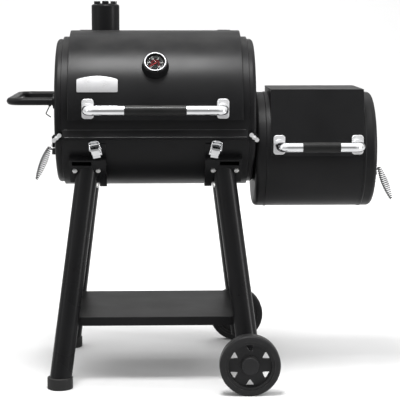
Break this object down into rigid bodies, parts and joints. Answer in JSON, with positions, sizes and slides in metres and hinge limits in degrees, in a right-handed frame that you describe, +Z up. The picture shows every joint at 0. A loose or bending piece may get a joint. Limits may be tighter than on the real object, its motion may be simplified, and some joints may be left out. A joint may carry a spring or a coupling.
{
  "type": "offset smoker",
  "caption": "Barrel cooker with a hinged lid, chimney and a lower side firebox on splayed tube legs, with a shelf, a pair of wheels and a push handle.",
  "frame": {"origin": "on the ground, under the middle of the whole smoker's outer box", "axes": "+X towards the firebox, along the barrel; -Y towards the front, where the lid handles are; +Z up"},
  "size_m": [1.1748, 0.772, 1.1424],
  "materials": {
    "black_satin_steel": "satin black heat-proof enamel",
    "bright_chrome": "bright plated",
    "zinc_plated_steel": "dull zinc plate",
    "silver_badge": "brushed silver",
    "cast_iron_grate": "seasoned cast iron",
    "pan_steel": "bare steel darkened by heat",
    "black_grip_plastic": "moulded phenolic",
    "black_wheel_plastic": "moulded",
    "black_foot_plastic": "moulded",
    "dial_face": "printed dial",
    "pointer_red": "red paint",
    "gauge_glass_clear": "clear"
  },
  "bodies": {
    "barrel_and_stand": {"barrel_cap_left": "black_satin_steel", "barrel_cap_right": "black_satin_steel", "barrel_shell": "black_satin_steel", "bottom_shelf": "black_satin_steel", "chimney_pipe": "black_satin_steel", "damper_pivots": "zinc_plated_steel", "firebox_cap_left": "black_satin_steel", "firebox_cap_right": "black_satin_steel", "firebox_shell": "black_satin_steel", "front_rail": "black_satin_steel", "grate_rails": "black_satin_steel", "hex_bolts": "zinc_plated_steel", "hinge_brackets": "black_satin_steel", "hinge_pins": "zinc_plated_steel", "latch_bases": "bright_chrome", "latch_keepers": "bright_chrome", "leg_bracket_front_left": "black_satin_steel", "leg_bracket_front_right": "black_satin_steel", "leg_bracket_rear_left": "black_satin_steel", "leg_bracket_rear_right": "black_satin_steel", "leg_feet": "black_foot_plastic", "leg_front_left": "black_satin_steel", "leg_front_right": "black_satin_steel", "leg_rear_left": "black_satin_steel", "leg_rear_right": "black_satin_steel", "rail_thumb_screws": "bright_chrome", "side_handle_loop": "black_satin_steel", "tool_hook": "bright_chrome", "wheel_axle": "zinc_plated_steel"},
    "main_lid": {"lid_shell": "black_satin_steel", "lid_hinge_leaves": "black_satin_steel", "lid_handle_plates": "bright_chrome", "lid_handle_tube": "bright_chrome", "lid_handle_grip": "black_grip_plastic", "badge_plate": "silver_badge", "gauge_housing": "black_satin_steel", "gauge_bezel": "bright_chrome", "gauge_dial": "dial_face", "gauge_glass": "gauge_glass_clear"},
    "gauge_pointer": {"gauge_needle": "pointer_red"},
    "fuel_lid": {"firebox_lid": "black_satin_steel", "firebox_hinge_leaves": "black_satin_steel", "firebox_handle_plates": "bright_chrome", "firebox_handle_tube": "bright_chrome", "firebox_handle_grip": "black_grip_plastic"},
    "chimney_cover": {"chimney_damper": "black_satin_steel"},
    "left_air_damper": {"left_damper_disc": "black_satin_steel", "left_damper_coil": "bright_chrome"},
    "firebox_air_damper": {"firebox_damper_disc": "black_satin_steel", "firebox_damper_coil": "bright_chrome"},
    "front_wheel": {"wheel_front": "black_wheel_plastic"},
    "rear_wheel": {"wheel_rear": "black_wheel_plastic"},
    "left_latch": {"latch_lever_left": "bright_chrome"},
    "right_latch": {"latch_lever_right": "bright_chrome"},
    "left_bail": {"latch_bail_left": "bright_chrome"},
    "right_bail": {"latch_bail_right": "bright_chrome"},
    "left_grate": {"cooking_grate_left": "cast_iron_grate"},
    "right_grate": {"cooking_grate_right": "cast_iron_grate"},
    "pan": {"charcoal_pan": "pan_steel"},
    "fire_grate": {"firebox_grate": "cast_iron_grate"}
  },
  "joints": [
    {"name": "main_lid_hinge", "type": "hinge", "parent": "barrel_and_stand", "child": "main_lid", "pos_m": [-0.14542, 0.092, 1.0425], "axis": [-1, 0, 0], "range_deg": [0, 85]},
    {"name": "gauge_pointer_turn", "type": "hinge", "parent": "main_lid", "child": "gauge_pointer", "pos_m": [-0.14542, -0.21548, 0.95851], "axis": [0, 0.8171, -0.5764], "range_deg": [0, 250]},
    {"name": "fuel_lid_hinge", "type": "hinge", "parent": "barrel_and_stand", "child": "fuel_lid", "pos_m": [0.33908, 0.106, 0.8445], "axis": [-1, 0, 0], "range_deg": [0, 90]},
    {"name": "chimney_cover_turn", "type": "hinge", "parent": "barrel_and_stand", "child": "chimney_cover", "pos_m": [-0.30242, 0.15, 1.1324], "axis": [0, 0, 1], "range_deg": [0, 45]},
    {"name": "left_air_damper_turn", "type": "hinge", "parent": "barrel_and_stand", "child": "left_air_damper", "pos_m": [-0.44342, -0.1, 0.71], "axis": [-1, 0, 0], "range_deg": [0, 45]},
    {"name": "firebox_air_damper_turn", "type": "hinge", "parent": "barrel_and_stand", "child": "firebox_air_damper", "pos_m": [0.51958, -0.05, 0.64], "axis": [1, 0, 0], "range_deg": [0, 45]},
    {"name": "front_wheel_spin", "type": "hinge", "parent": "barrel_and_stand", "child": "front_wheel", "pos_m": [0.12658, -0.362, 0.089], "axis": [0, 1, 0], "continuous": true},
    {"name": "rear_wheel_spin", "type": "hinge", "parent": "barrel_and_stand", "child": "rear_wheel", "pos_m": [0.12658, 0.362, 0.089], "axis": [0, 1, 0], "continuous": true},
    {"name": "left_latch_lever", "type": "hinge", "parent": "barrel_and_stand", "child": "left_latch", "pos_m": [-0.32356, -0.21918, 0.70709], "axis": [-0.9816, 0.083, -0.1718], "range_deg": [0, 110]},
    {"name": "left_latch_bail", "type": "hinge", "parent": "left_latch", "child": "left_bail", "pos_m": [-0.32328, -0.22349, 0.70337], "axis": [-0.9816, 0.083, -0.1718], "range_deg": [-145, 0]},
    {"name": "right_latch_lever", "type": "hinge", "parent": "barrel_and_stand", "child": "right_latch", "pos_m": [0.03272, -0.21918, 0.70709], "axis": [-0.9816, -0.083, 0.1718], "range_deg": [0, 110]},
    {"name": "right_latch_bail", "type": "hinge", "parent": "right_latch", "child": "right_bail", "pos_m": [0.03244, -0.22349, 0.70337], "axis": [-0.9816, -0.083, 0.1718], "range_deg": [-145, 0]},
    {"name": "left_grate_lift_out", "type": "slide", "parent": "barrel_and_stand", "child": "left_grate", "axis": [0, 0, 1], "range_m": [0, 0.06]},
    {"name": "right_grate_lift_out", "type": "slide", "parent": "barrel_and_stand", "child": "right_grate", "axis": [0, 0, 1], "range_m": [0, 0.06]},
    {"name": "pan_lift_out", "type": "slide", "parent": "barrel_and_stand", "child": "pan", "axis": [0, 0, 1], "range_m": [0, 0.05]},
    {"name": "fire_grate_lift_out", "type": "slide", "parent": "barrel_and_stand", "child": "fire_grate", "axis": [0, 0, 1], "range_m": [0, 0.04]}
  ],
  "couplings": [
    {"joint": "left_latch_bail", "follows": "left_latch_lever", "ratio": -1.3},
    {"joint": "right_latch_bail", "follows": "right_latch_lever", "ratio": -1.3}
  ]
}
